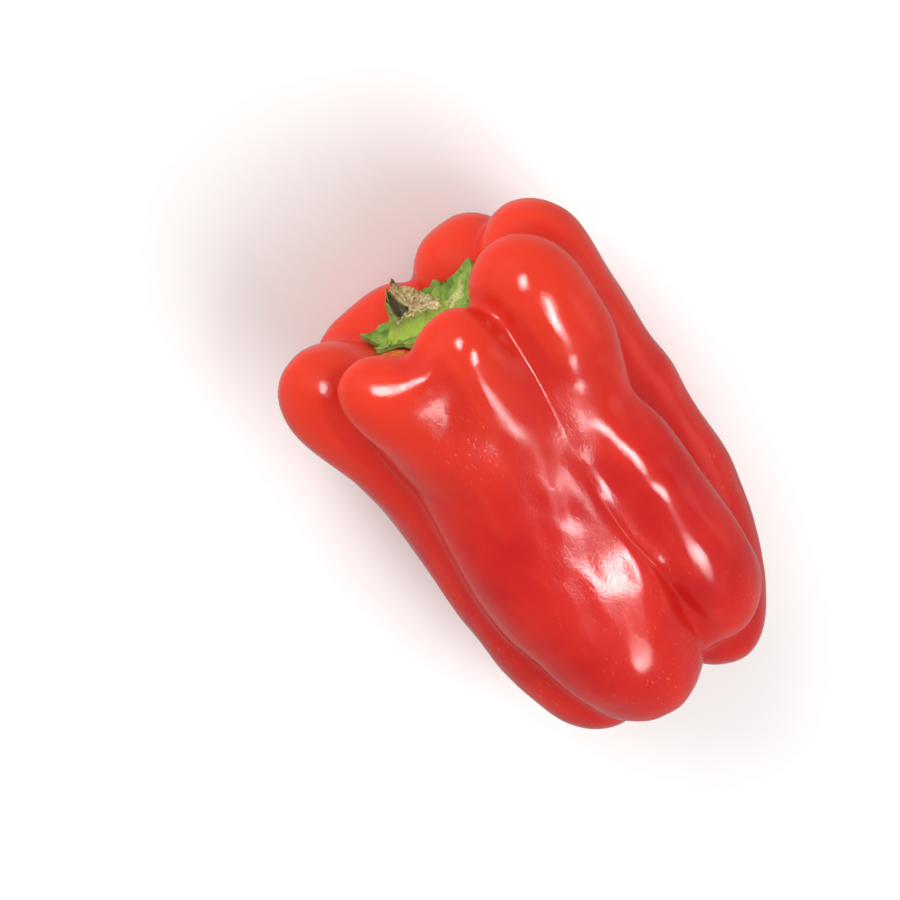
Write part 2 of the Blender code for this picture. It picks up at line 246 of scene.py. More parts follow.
def ramp(x, a, b):
    """0 before a, 1 after b, and 3t^2 - 2t^3 between them."""
    t = np.clip((x - a) / (b - a), 0, 1)
    return t * t * (3 - 2 * t)


def seat(points):
    """Distance to the rounded drum whose top is the floor of the stem hollow."""
    qr = np.hypot(points[:, 1], points[:, 2]) - (SEAT_RADIUS - SEAT_ROUNDING)
    qx = np.abs(points[:, 0] - SEAT_X - SEAT_HALF) - (SEAT_HALF - SEAT_ROUNDING)
    outside = np.hypot(np.maximum(qr, 0), np.maximum(qx, 0))
    return outside + np.minimum(np.maximum(qr, qx), 0) - SEAT_ROUNDING


def field(points):
    """Distance to the whole fruit: negative inside, zero on its skin."""
    points = points.astype(np.float32)
    x = points[:, 0]
    lobe = {name: tube(points, path) for name, path in PATHS.items()}
    waist = ramp(x, 16, 40) * (1 - ramp(x, 88, 112))
    upper = melt(lobe["upper_a"], lobe["upper_b"], 10.0 - 2.0 * ramp(x, 20, 40))
    upper = melt(melt(upper, lobe["stem_side"], 3.0), lobe["flank"], 8.0)
    upper = melt(upper, lobe["saddle"], 6.0)
    ridge = melt(lobe["ridge_shoulder"], lobe["ridge"], 5.0)
    under = melt(lobe["under_a"], lobe["under_b"], 12.0)
    core = melt(tube(points, CORE_PATH), seat(points), 3.0)
    top_groove = (3.0 + 3.0 * ramp(x, 18, 34) * (1 - ramp(x, 44, 54))
                  + 2.5 * ramp(x, 54, 66) * (1 - ramp(x, 82, 98)))
    top = melt(melt(upper, ridge, top_groove), core, 4.0)
    left = melt(lobe["left"], lobe["left_back"], 10.0)
    right = melt(lobe["right"], lobe["right_back"], 10.0)
    side = melt(melt(under, left, 4.0 + 6.0 * waist), core, 4.0)
    side = melt(side, lobe["under_right"], 4.0 + 7.0 * waist)
    side = melt(side, right, 4.0 + 5.0 * waist)
    left_waist = ramp(x, 20, 42) * (1 - ramp(x, 66, 98)) * (1 - ramp(points[:, 1], -10, 5))
    return melt(top, side, 3.0 - 0.5 * left_waist)


print("from the fruit's middle to its skin:", field(np.array([[65.0, 0, 0]])).round(1), "mm")

# %% [markdown]
# ## Rays that find the skin
#
# A distance is not yet a surface. Marching cubes would give one, with ragged
# triangles; rays give a clean grid. They leave a rod on the fruit's axis, fan
# out over its two ends, and each walks in from outside by the distance it is
# told, until it stands on the skin. A coarse grid is walked first, and the fine
# one starts from it.

# %% Cast the rays
ROD_TOP_X, ROD_TOP_R = 44.0, 19.0
ROD_END_X, ROD_END_R = 92.0, 10.0
TURN_SPREAD = 24.0                  # the more, the more rows turn over each end of the rod
RAY_START = 56.0
STEP_SHARE, ARRIVED = 0.95, 0.008
SKIN_AROUND, SKIN_ALONG = 400, 240
COARSE_STEPS, FINE_STEPS = 40, 7


def rays(around, along):
    """Start points on the rod and directions, as grids.

    They point straight out on its side and turn by a quarter over each end.
    """
    quarter = TURN_SPREAD * math.pi / 2
    lengths = [ROD_TOP_R, quarter, ROD_END_X - ROD_TOP_X, quarter, ROD_END_R]
    edge = np.cumsum([0.0] + lengths)
    s = np.linspace(0, edge[-1], along)
    rho = np.interp(s, edge, [0, ROD_TOP_R, ROD_TOP_R, ROD_END_R, ROD_END_R, 0])
    x0 = np.interp(s, edge, [ROD_TOP_X] * 3 + [ROD_END_X] * 3)
    turn = np.interp(s, edge, np.radians([0, 0, 90, 90, 180, 180]))
    psi = np.linspace(0, 2 * math.pi, around, endpoint=False)
    ring = np.ones(around)

    def as_grid(along_x, across):
        return np.stack([along_x[:, None] * ring, across[:, None] * np.sin(psi),
                         across[:, None] * np.cos(psi)], -1)

    return as_grid(x0, rho), as_grid(-np.cos(turn), np.sin(turn))


def walk(start, direction, t, steps):
    """Step each ray by a share of its distance to the skin, until it has arrived."""
    o, d, t = start.reshape(-1, 3), direction.reshape(-1, 3), t.ravel().copy()
    live = np.arange(len(o))
    for _ in range(steps):
        f = field(o[live] + t[live, None] * d[live])
        t[live] -= STEP_SHARE * f
        live = live[np.abs(f) > ARRIVED]
        if len(live) == 0:
            break
    return t.reshape(start.shape[:2])


def finer(t, around, along):
    """Straight-line filling between the values of a coarse grid that closes round."""
    rows = np.linspace(0, t.shape[0] - 1, along)
    cols = np.arange(around) * t.shape[1] / around
    i, j = np.minimum(rows.astype(int), t.shape[0] - 2), cols.astype(int)
    fi, fj = (rows - i)[:, None], (cols - j)[None, :]
    near, far = t[i][:, j], t[i][:, (j + 1) % t.shape[1]]
    near2, far2 = t[i + 1][:, j], t[i + 1][:, (j + 1) % t.shape[1]]
    return (near * (1 - fj) + far * fj) * (1 - fi) + (near2 * (1 - fj) + far2 * fj) * fi


coarse_start, coarse_direction = rays(SKIN_AROUND // 4, SKIN_ALONG // 3)
far_out = np.full(coarse_start.shape[:2], RAY_START)
coarse = walk(coarse_start, coarse_direction, far_out, COARSE_STEPS)
start, direction = rays(SKIN_AROUND, SKIN_ALONG)
reach = walk(start, direction, finer(coarse, SKIN_AROUND, SKIN_ALONG), FINE_STEPS)
skin = start + reach[..., None] * direction
print("skin grid", skin.shape[:2])
print("it runs from", skin.min((0, 1)).round(1), "to", skin.max((0, 1)).round(1))

# %% [markdown]
# ## The small forms of the skin
#
# Close up the skin is not the smooth sum of its lobes. It has shallow dents and
# swellings a finger wide, a fine crease where two lobes press together, and long
# soft ripples from uneven growth. They could be painted as a bump, but these are
# large enough to bend the highlights and the outline, so they move the points.

# %% Dents, creases and ripples
# x, angle from the upper side, length, width and depth, which is negative for a swelling
DENTS = [
    (76, 4, 12, 9, 1.3), (44, 96, 7, 6, 0.8), (56, 88, 6, 5, -0.6), (70, 97, 8, 6, 0.8),
    (86, 90, 7, 6, -0.5), (60, 232, 14, 8, 1.0), (84, 150, 12, 8, 0.8), (50, 172, 9, 7, 0.6)]
# the first ten of these give the highlights on the upper lobe and the ridge their shape
SMALL_DENTS = [
    (58, 8, 15, 6, -0.6), (89, 12, 12, 6.5, -1.6), (91, -13, 9, 7, 0.55), (56, -17, 14, 7, 0.6),
    (36, -14, 8, 7, 0.9), (70, 31, 12, 6, -0.8),
    (19, 357, 6, 4.5, -0.5), (25, 355, 6, 4.5, -0.4), (66.5, 31, 3.5, 5, 0.5),
    (60, -1, 4, 3.2, 0.35), (55, 42, 5, 3.5, 0.3), (50, 78, 4, 3.5, 0.45), (63, 83, 4.5, 3.5, 0.4),
    (78, 82, 4, 3, -0.35), (93, 84, 6, 3.5, 0.45), (104, 80, 5, 4, 0.3), (38, 100, 5, 4, 0.4),
    (95, 60, 9, 3, 0.3), (108, 50, 6, 4, 0.25), (30, 272, 6, 5, 0.35), (52, 281, 7, 4, 0.35),
    (72, 276, 6, 4, -0.3), (90, 272, 7, 5, 0.35), (66, 205, 8, 6, 0.4), (98, 220, 7, 6, 0.35),
    (40, 140, 7, 5, 0.4), (76, 122, 8, 5, 0.35), (100, 135, 7, 5, -0.3)]
# x, angle and depth along each crease, then its half width
CREASES = [
    ([(4, 22, 0.3), (14, 19, 0.9), (24, 18, 0.7), (34, 16.5, 0.15), (52, 13, 0.0), (62, 12, 0.3),
      (75, 13, 0.6), (90, 17, 1.1), (104, 23, 1.0), (112, 28, 0.4)], 0.9),
    ([(12, 128, 0.0), (24, 126, 0.5), (50, 122, 0.2), (80, 124, 0.0)], 1.4),
    ([(14, 196, 0.3), (28, 190, 0.6), (50, 186, 0.15), (70, 184, 0.0)], 1.3)]
# depth, wavelength, stretch along x and seed
RIPPLES = [(0.16, 15, 2.0, 3), (0.05, 5.5, 2.5, 4)]
SMOOTHING_ROWS = 1.8


def angle_off(angle, centre):
    """Signed turn from one angle to another, in degrees, the short way round."""
    return (angle - centre + 180) % 360 - 180


def waves(points, length, stretch, seed, count=9):
    """Sum of sine waves in random directions, drawn out along x, over the root of their count."""
    rng = np.random.default_rng(seed)
    p = points / np.array([stretch, 1.0, 1.0])
    total = np.zeros(points.shape[:-1])
    for _ in range(count):
        way = rng.normal(size=3)
        way /= np.linalg.norm(way)
        size = length * rng.uniform(0.7, 1.5)
        total += np.sin((p @ way) * 2 * math.pi / size + rng.uniform(0, 2 * math.pi))
    return total / math.sqrt(count)


def smooth_along(grid, width_rows):
    """Average each point with its neighbours up and down the grid, weighted by a bell curve."""
    reach_rows = int(3 * width_rows)
    weights = np.exp(-0.5 * (np.arange(-reach_rows, reach_rows + 1) / width_rows) ** 2)
    weights /= weights.sum()
    padded = np.pad(grid, ((reach_rows, reach_rows), (0, 0), (0, 0)), mode="edge")
    return sum(w * padded[i:i + len(grid)] for i, w in enumerate(weights))


def near_scar(grid):
    """Share from 0 to 1, a bell curve round the blossom end's pole with a wavy edge."""
    off = grid - grid[-1].mean(0)
    reach = 2.0 + 0.35 * np.sin(5 * np.arctan2(off[..., 1], off[..., 2]) + 1)
    return np.exp(-(np.linalg.norm(off, axis=-1) / reach) ** 4)


def small_forms(grid, inward):
    """Sink each point against its ray by the sum of four small forms.

    They are dents (bell curves), creases (narrow peaks), ripples and the scar.
    """
    x, y, z = grid[..., 0], grid[..., 1], grid[..., 2]
    rho = np.hypot(y, z)
    angle = np.degrees(np.arctan2(y, z))
    flank = ramp(rho, 14, 20)
    sink = np.zeros_like(x)
    for x0, a0, length, width, depth in DENTS + SMALL_DENTS:
        side = np.radians(angle_off(angle, a0)) * rho
        sink += depth * np.exp(-((x - x0) / length) ** 2 - (side / width) ** 2) * flank
    for line, width in CREASES:
        knots = np.array(line, float)
        centre = np.interp(x, knots[:, 0], knots[:, 1])
        depth = np.interp(x, knots[:, 0], knots[:, 2], left=0, right=0)
        side = np.abs(np.radians(angle_off(angle, centre)) * rho)
        sink += depth * np.exp(-(side / width) ** 1.3) * flank
    sink += sum(depth * waves(grid, *form) for depth, *form in RIPPLES)
    sink += near_scar(grid) * (0.35 + 0.15 * waves(grid, 1.5, 1.0, 6))
    return grid - sink[..., None] * inward


skin = smooth_along(skin, SMOOTHING_ROWS)
skin = small_forms(skin, direction)
print("small forms done, box", skin.min((0, 1)).round(1), skin.max((0, 1)).round(1))

# %% [markdown]
# ## From a grid to a mesh
#
# A grid becomes a mesh by joining each point to its neighbours in quads. The
# first and last rings are single points, the poles, closed with triangles. The
# numbers go in as whole arrays, which is far quicker than one vertex at a time,
# and any value known at each point can be kept with it for the material.

# %% Mesh helper
FRUIT_LENGTH = 132.0
FRUIT_MIDDLE = np.array([66.0, 0, 0])
# a hollow this deep gets the full painted shade in the skin's colour
DEEP_GROOVE = 1.6
GROOVE_COLUMNS = 5


def as_mesh(name, grid, **values):
    """A closed mesh: its rings are the grid's inner rows, its poles the means of its end rows."""
    body = grid[1:-1]
    rows, cols = body.shape[:2]
    points = np.vstack([grid[0].mean(0), body.reshape(-1, 3), grid[-1].mean(0)]) * MM
    j = np.arange(cols)
    k = (j + 1) % cols
    i = np.arange(rows - 1)[:, None] * cols + 1
    quads = np.stack([i + j, i + k, i + cols + k, i + cols + j], -1).reshape(-1, 4)
    first, last = 0, rows * cols + 1
    base = 1 + (rows - 1) * cols
    caps = np.vstack([np.stack([np.full(cols, first), 1 + k, 1 + j], -1),
                      np.stack([np.full(cols, last), base + j, base + k], -1)])
    loops = np.concatenate([quads.ravel(), caps.ravel()]).astype(np.int32)
    sizes = np.concatenate([np.full(len(quads), 4), np.full(len(caps), 3)])
    starts = np.concatenate([[0], np.cumsum(sizes)[:-1]]).astype(np.int32)
    mesh = bpy.data.meshes.new(name)
    mesh.vertices.add(len(points))
    mesh.vertices.foreach_set("co", points.astype(np.float32).ravel())
    mesh.loops.add(len(loops))
    mesh.loops.foreach_set("vertex_index", loops)
    mesh.polygons.add(len(sizes))
    mesh.polygons.foreach_set("loop_start", starts)
    mesh.update(calc_edges=True)
    for key, value in values.items():
        flat = np.concatenate([[value[0].mean()], value[1:-1].ravel(), [value[-1].mean()]])
        layer = mesh.attributes.new(key, "FLOAT", "POINT")
        layer.data.foreach_set("value", flat.astype(np.float32))
    mesh.shade_smooth()
    mesh.validate()
    obj = bpy.data.objects.new(name, mesh)
    bpy.context.scene.collection.objects.link(obj)
    print(name, "has", len(points), "points and", len(quads) * 2 + len(caps), "triangles")
    return obj


def hollow_depth(grid, columns):
    """How far each point lies below the average of others round the fruit, from 0 to 1."""
    wide = grid
    for shift in (columns, columns * 2):
        wide = (np.roll(wide, shift, 1) + np.roll(wide, -shift, 1)) / 2
    gap = np.linalg.norm(wide - grid, axis=-1)
    outward = ((wide - grid) * (grid - FRUIT_MIDDLE)).sum(-1) > 0
    return np.clip(np.where(outward, gap, 0.0) / DEEP_GROOVE, 0, 1)


def sit_on_floor(grid):
    """Lay the grid down and press whatever is lower than the floor flat."""
    out = laid_down(grid)
    out[..., 2] = np.maximum(out[..., 2], 0.0)
    return out


# the depth of each hollow below its neighbours sets where the skin is darkened as painted shade
fruit_skin = as_mesh("fruit_skin", sit_on_floor(skin),
                     groove=hollow_depth(skin, GROOVE_COLUMNS),
                     along=np.clip(skin[..., 0] / FRUIT_LENGTH, -0.1, 1.1),
                     scar=near_scar(skin))

# %% [markdown]
# ## The finish of ripe skin
#
# Ripe pepper skin is a saturated red under a clear waxy layer. Toward the
# shoulders it is a little lighter and more orange, partly its own tone and partly
# painted light on the end that faces the light, and the grooves are painted a
# deeper red as painted shade. It carries faint mottling, patches of small pale
# flecks, and pores too fine to see except where they roughen the edge of a
# highlight. At the blossom end a small dull scar shows where the flower sat.
# Colour, roughness and bump each get their own noise, all on Object coordinates,
# so nothing slides.

# %% Node helpers


class Nodes:
    """Short calls for adding and wiring nodes in one material."""

    def __init__(self, name):
        self.material = bpy.data.materials.new(name)
        self.material.use_nodes = True
        self.tree = self.material.node_tree
        self.shader = self.tree.nodes["Principled BSDF"]

    def put(self, socket, value):
        """Wire an output into a socket, or set a plain number or colour on it."""
        if isinstance(value, bpy.types.NodeSocket):
            self.tree.links.new(value, socket)
        elif isinstance(value, tuple) and len(value) == 3 and socket.type == "RGBA":
            socket.default_value = (*value, 1.0)
        else:
            socket.default_value = value

    def coordinates(self, scale):
        """Object coordinates, scaled apart along x, y and z."""
        place = self.tree.nodes.new("ShaderNodeTexCoord")
        mapping = self.tree.nodes.new("ShaderNodeMapping")
        mapping.inputs["Scale"].default_value = scale
        self.tree.links.new(place.outputs["Object"], mapping.inputs["Vector"])
        return mapping.outputs["Vector"]

    def noise(self, vector, scale, detail=3.0, roughness=0.5):
        """Cloudy noise round 0.5, with about as many clouds to the metre as its scale."""
        node = self.tree.nodes.new("ShaderNodeTexNoise")
        self.put(node.inputs["Vector"], vector)
        node.inputs["Scale"].default_value = scale
        node.inputs["Detail"].default_value = detail
        node.inputs["Roughness"].default_value = roughness
        return node.outputs["Fac"]

    def attribute(self, name):
        """The number that the mesh keeps at each point under this name."""
        node = self.tree.nodes.new("ShaderNodeAttribute")
        node.attribute_name = name
        return node.outputs["Fac"]

    def span(self, value, low, high, out_low=0.0, out_high=1.0):
        """Stretch the span from low to high onto another one, and hold it at both ends."""
        node = self.tree.nodes.new("ShaderNodeMapRange")
        self.put(node.inputs["Value"], value)
        ends = {"From Min": low, "From Max": high, "To Min": out_low, "To Max": out_high}
        for socket, number in ends.items():
            node.inputs[socket].default_value = number
        return node.outputs["Result"]

    def maths(self, operation, a, b=0.0):
        """One sum or product of two values."""
        node = self.tree.nodes.new("ShaderNodeMath")
        node.operation = operation
        self.put(node.inputs[0], a)
        self.put(node.inputs[1], b)
        return node.outputs[0]

    def mix(self, factor, a, b):
        """Colour a where the factor is 0, colour b where it is 1."""
        node = self.tree.nodes.new("ShaderNodeMix")
        node.data_type = "RGBA"
        self.put(node.inputs[0], factor)
        self.put(node.inputs[6], a)
        self.put(node.inputs[7], b)
        return node.outputs[2]

    def bump(self, height, distance, strength=1.0, normal=None):
        """A normal tipped by a height, on top of another bump where one is given."""
        node = self.tree.nodes.new("ShaderNodeBump")
        node.inputs["Distance"].default_value = distance
        node.inputs["Strength"].default_value = strength
        self.put(node.inputs["Height"], height)
        if normal is not None:
            self.put(node.inputs["Normal"], normal)
        return node.outputs["Normal"]


print("node helpers ready")

# %% Red skin
DEEP_RED, BRIGHT_RED = (0.49, 0.009, 0.009), (0.62, 0.019, 0.012)
# the first colour here is partly the skin's own orange and partly painted light on the shoulders
SHOULDER_RED_AND_LIGHT, STREAK_RED = (0.80, 0.052, 0.013), (0.76, 0.050, 0.022)
# the second colour here is painted shade for the grooves
FLECK, GROOVE_SHADE_RED = (0.90, 0.26, 0.10), (0.50, 0.010, 0.008)
CORK_BROWN, CORK_PALE = (0.16, 0.07, 0.025), (0.42, 0.27, 0.12)


def red_skin():
    """Red mixed by mottling and by place, with painted light toward the shoulders and painted shade
    in the grooves, cork at the scar, and bump from finer noise.
    """
    n = Nodes("red_skin")
    even = n.coordinates((1.0, 1.0, 1.0))
    drawn = n.coordinates((0.35, 1.0, 1.0))
    mottle = n.noise(even, 38.0, 4.0, 0.55)
    streak = n.noise(drawn, 160.0, 3.0, 0.5)
    along = n.attribute("along")
    colour = n.mix(n.span(mottle, 0.35, 0.68), DEEP_RED, BRIGHT_RED)
    # toward the shoulders: partly the skin's own orange, partly painted light on the lit end
    colour = n.mix(n.span(along, 0.0, 0.45, 0.55, 0.0), colour, SHOULDER_RED_AND_LIGHT)
    colour = n.mix(n.span(streak, 0.55, 0.75, 0.0, 0.22), colour, STREAK_RED)
    fleck = n.noise(n.coordinates((0.30, 1.0, 1.0)), 1500.0, 1.0, 0.4)
    patches = n.maths("ADD", n.noise(even, 22.0, 2.0), n.span(along, 0.2, 0.8, -0.04, 0.12))
    mark = n.maths("MULTIPLY", n.span(fleck, 0.67, 0.74), n.span(patches, 0.50, 0.66, 0.0, 0.42))
    colour = n.mix(mark, colour, FLECK)
    # painted shade: the grooves are darkened toward a deeper red
    colour = n.mix(n.span(n.attribute("groove"), 0.1, 0.9, 0.0, 0.45), colour, GROOVE_SHADE_RED)
    scar = n.span(n.attribute("scar"), 0.15, 0.6)
    cork = n.mix(n.span(n.noise(even, 1400.0, 3.0), 0.4, 0.6), CORK_BROWN, CORK_PALE)
    n.put(n.shader.inputs["Base Color"], n.mix(scar, colour, cork))
    gloss = n.span(n.noise(even, 120.0, 3.0), 0.3, 0.7, 0.11, 0.20)
    n.put(n.shader.inputs["Roughness"], n.maths("ADD", gloss, n.span(scar, 0.0, 1.0, 0.0, 0.45)))
    n.shader.inputs["IOR"].default_value = 1.40
    n.shader.inputs["Subsurface Weight"].default_value = 0.10
    n.shader.inputs["Subsurface Radius"].default_value = (1.0, 0.12, 0.06)
    n.shader.inputs["Subsurface Scale"].default_value = 0.003
    soft = n.bump(n.noise(drawn, 75.0, 3.0, 0.55), 0.0006, 0.35)
    pores = n.bump(n.noise(even, 1900.0, 2.0, 0.5), 0.00010, 0.42, soft)
    n.put(n.shader.inputs["Normal"], n.bump(mark, 0.00012, 0.5, pores))
    return n.material


fruit_skin.data.materials.append(red_skin())
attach(fruit_skin, "root")
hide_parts("fruit")
print("skin material:", fruit_skin.data.materials[0].name)

# %% [markdown]
# ## The calyx
#
# The green calyx is the flower's old cup: a thick crinkled disc with pointed
# tips, dished so that its rim climbs the shoulders, with a rib from the stem to
# each tip. It could be a flat disc with a bump, but its rim is lit from the side
# and casts its own shadow. So it is one grid of rings: under the disc, round the
# rim and back over the top, each kept a hair's breadth off the fruit.

# %% Calyx rings
CALYX_AROUND = 360
CALYX_CENTRE = (-3.0, -0.8)
CALYX_RADIUS = 17.0
CALYX_THICKNESS = 1.3
CALYX_GAP, RIM_CLEARANCE = 0.3, 0.9
RIM_STEPS, LIFT_STEPS, LIFT_SHARE = 12, 16, 1.2
# how far out each ring lies, as a share of the rim's radius
UNDER_RINGS = np.array([0.0, 0.12, 0.25, 0.4, 0.55, 0.68, 0.78, 0.86, 0.92, 0.96])
OVER_RINGS = np.array([0.985, 0.965, 0.94, 0.91, 0.88, 0.84, 0.8, 0.76, 0.72, 0.68, 0.64, 0.6,
                       0.56])
# angle from the upper side, length and lift of each pointed tip
TIPS = [
    (18, 1.4, 1.0), (58, 1.4, 1.2), (102, 2.2, 3.3), (142, 1.3, 1.3),
    (192, 1.0, 0.4), (246, 1.8, 2.8), (287, 1.5, 1.4), (330, 1.4, 0.9)]
TIP_LENGTH, TIP_LIFT = 1, 2
# angle from the upper side and width, in degrees
NEAR_EDGE = (300, 38)
around = np.linspace(0, 2 * math.pi, CALYX_AROUND, endpoint=False)


def bell(angle, place):
    """A bell curve round the stem, 1 at the place's angle and as wide as it says."""
    centre, width = place
    return np.exp(-(angle_off(np.degrees(angle), centre) / width) ** 2)


def tip_sum(angle, column, width, power=1.4):
    """Sum of pointed peaks at the tips, as tall as the tip's length or its lift."""
    total = np.zeros_like(angle)
    for tip in TIPS:
        off = np.abs(angle_off(np.degrees(angle), tip[0]))
        total += tip[column] * np.exp(-(off / width) ** power)
    return total


def over_calyx(radius, angle, height):
    """Points at a radius and angle from the calyx's middle and a height above the seat."""
    return np.stack([SEAT_X - height, CALYX_CENTRE[0] + radius * np.sin(angle),
                     CALYX_CENTRE[1] + radius * np.cos(angle)], -1)


def clear_radius(radius, angle, height):
    """Draw the rim in wherever it would touch the shoulders."""
    for _ in range(RIM_STEPS):
        away = field(over_calyx(radius, angle, height))
        radius = radius - np.maximum(0.0, RIM_CLEARANCE - away)
    return radius


def clear_height(radius, angle, height, gap):
    """Lift points wherever they are nearer to the fruit than the gap."""
    for _ in range(LIFT_STEPS):
        away = field(over_calyx(radius, angle, height))
        height = height + LIFT_SHARE * np.maximum(0.0, gap - away)
    return height


def calyx_disc():
    """Radius, rib strength and heights of the disc's rings, from below to the top."""
    nicks = (0.28 * np.cos(11 * around + 2) + 0.22 * np.cos(17 * around)
             + 0.14 * np.cos(29 * around + 1))
    near = bell(around, NEAR_EDGE)
    radius = (CALYX_RADIUS + 0.4 * np.cos(3 * around + 1) + nicks + 1.2 * near
              + tip_sum(around, TIP_LENGTH, 8))
    lift = (2.0 + 0.7 * np.cos(around - 1.2) + 0.35 * np.sin(5 * around + 0.6) - 0.9 * near
            + 0.30 * np.sin(13 * around + 1) + 0.18 * np.sin(21 * around)
            + tip_sum(around, TIP_LIFT, 11))
    radius = clear_radius(radius, around, lift + 3.0)
    rib = tip_sum(around, TIP_LENGTH, 7) / 1.5
    under, over = UNDER_RINGS[:, None], OVER_RINGS[:, None]

    def clear_rings(shares, heights, gap):
        flat = clear_height((radius * shares).ravel(), np.tile(around, len(shares)),
                            heights.ravel(), gap)
        return flat.reshape(-1, CALYX_AROUND)

    low = clear_rings(under, np.maximum(-3.0, (lift + 2.0) * under ** 4 - 2.0), CALYX_GAP)
    edge_low = clear_height(radius, around, lift, CALYX_GAP)
    edge = edge_low + CALYX_THICKNESS
    level = np.interp(over, [0.55, 0.67, 0.8, 0.93, 1.0], [1.0, 0.8, 0.45, 0.15, 0.0])
    top = clear_rings(over, edge + (3.6 + 0.4 * rib - edge) * level, CALYX_GAP + 1.2)
    return radius, rib, low, edge_low, edge, top


disc_radius, rib, low, edge_low, edge, top = calyx_disc()
print("calyx radius from", disc_radius.min().round(1), "to", disc_radius.max().round(1), "mm")

# %% [markdown]
# ## The stem and its torn end
#
# The stem flares out of the disc and was torn rather than cut: its rim stands
# high at the back in a narrow spur and falls away to the right, and the slanting
# wound shows crumbly pith with a hollow beside it, whose darkness is painted
# shade. The rings simply go on from the disc: up the stem to a rim whose height
# changes round it, then inward and down over the wound.

# %% Stem rings and the whole green piece
# middle of the stem at the seat and at its top, as y and z
STEM_BASE, STEM_TOP = (-5.2, -0.4), (-3.6, -0.9)
# height over the seat and radius
STEM_PROFILE = [
    (3.6, 9.6), (4.4, 9.0), (5.6, 8.0), (7.2, 6.7), (9.4, 5.7), (13.0, 5.0), (17.8, 2.4)]
STEM_TOP_HEIGHT = STEM_PROFILE[-1][0]
STEM_FOOT, WOUND_RADIUS = 4.0, 4.3
RIM_HEIGHT, RIM_SLANT, HIGH_SIDE = 10.6, 4.2, 240
SPUR_HEIGHT, GAP_DEPTH, HOLLOW_DEPTH = 4.0, 4.6, 3.4
STEM_RINGS = np.concatenate(
    [np.linspace(0, 0.13, 6), np.linspace(0.17, 0.9, 22), [0.94, 0.97, 0.99, 1.0]])
WOUND_RINGS = np.concatenate([[0.9, 0.84], np.linspace(0.78, 0.0, 12)])
# angle from the upper side and width, in degrees
SPUR, SECOND_SPUR, RIM_GAP = (187, 11), (150, 10), (303, 25)
HOLLOW, DRY_PATCH = (262, 52), (84, 30)


def stem_rim(angle):
    """Height of the torn rim: waves high at the back and left, two spurs, a gap and small teeth."""
    spur = bell(angle, SPUR) + 0.3 * bell(angle, SECOND_SPUR)
    teeth = (0.35 * np.sin(11 * angle + 1) + 0.25 * np.sin(23 * angle)
             + 0.15 * np.sin(41 * angle + 2))
    slant = RIM_SLANT * np.cos(np.radians(np.degrees(angle) - HIGH_SIDE))
    return (RIM_HEIGHT + slant + 0.5 * np.sin(5 * angle)
            + SPUR_HEIGHT * spur - GAP_DEPTH * bell(angle, RIM_GAP) + teeth)


def ring(centre, radius, height):
    """One ring of points round a centre (y, z), at a height above the seat."""
    return np.stack([SEAT_X - height + 0 * around, centre[0] + radius * np.sin(around),
                     centre[1] + radius * np.cos(around)], -1)


def between(a, b, share):
    """The point that lies a share of the way from a to b."""
    return [p + (q - p) * share for p, q in zip(a, b)]


def green_grid():
    """All rings from under the calyx to the middle of the wound, with values for the material."""
    rings = []
    values = {name: [] for name in ("wound", "rim", "stem", "dark", "dry")}

    def add(points, **known):
        rings.append(points)
        for name, store in values.items():
            store.append(known.get(name, 0.0) + 0 * around)

    for f, h in zip(UNDER_RINGS, low):
        add(ring(CALYX_CENTRE, disc_radius * f, h), rim=f ** 8)
    middle, half = (edge_low + edge) / 2, (edge - edge_low) / 2
    for turn in np.radians(np.linspace(-70, 70, 6)):
        radius = disc_radius - 0.65 + 0.65 * math.cos(turn)
        add(ring(CALYX_CENTRE, radius, middle + half * math.sin(turn)), rim=1.0)
    dry_side = bell(around, DRY_PATCH)
    for f, h in zip(OVER_RINGS, top):
        centre = between(CALYX_CENTRE, STEM_BASE, 1 - f)
        add(ring(centre, disc_radius * f, h), rim=f ** 8,
            dry=dry_side * np.exp(-((f - 0.58) / 0.13) ** 2))
    rim = stem_rim(around)
    hollow = bell(around, HOLLOW)
    # share of painted shade in the wound's hollow; it also holds the pith colour back from the
    # stem's top on that side
    hollow_shade_share = ramp(hollow, 0.2, 0.7)
    heights, radii = zip(*STEM_PROFILE)
    for f in STEM_RINGS:
        h = STEM_FOOT + f * (rim - STEM_FOOT)
        lobed = 1 + 0.06 * np.cos(5 * around) + 0.02 * np.cos(13 * around + f)
        radius = np.interp(h, heights, radii) * lobed - 0.25 * ramp(f, 0.96, 1.0)
        add(ring(between(STEM_BASE, STEM_TOP, h / STEM_TOP_HEIGHT), radius, h), stem=f,
            wound=ramp(f, 0.93, 1.0) * (1 - 0.8 * hollow_shade_share),
            dry=0.8 * dry_side * (1 - ramp(f, 0.1, 0.5)))
    mean_rim = rim.mean()
    wound_centre = between(STEM_BASE, STEM_TOP, mean_rim / STEM_TOP_HEIGHT)
    for f in WOUND_RINGS:
        dip = np.interp(f, [0.0, 0.4, 0.72, 1.0], [0.6, 1.3, 0.9, 0.0])
        pit = HOLLOW_DEPTH * hollow * math.sin(math.pi * f) ** 0.7
        h = mean_rim + (rim - mean_rim) * f - dip - pit
        # in the hollow the wound is darkened as painted shade
        add(ring(wound_centre, WOUND_RADIUS * f, h), wound=1.0, stem=1.0,
            dark=hollow_shade_share * ramp(f, 0.05, 0.3))
    return np.stack(rings), {name: np.stack(store) for name, store in values.items()}


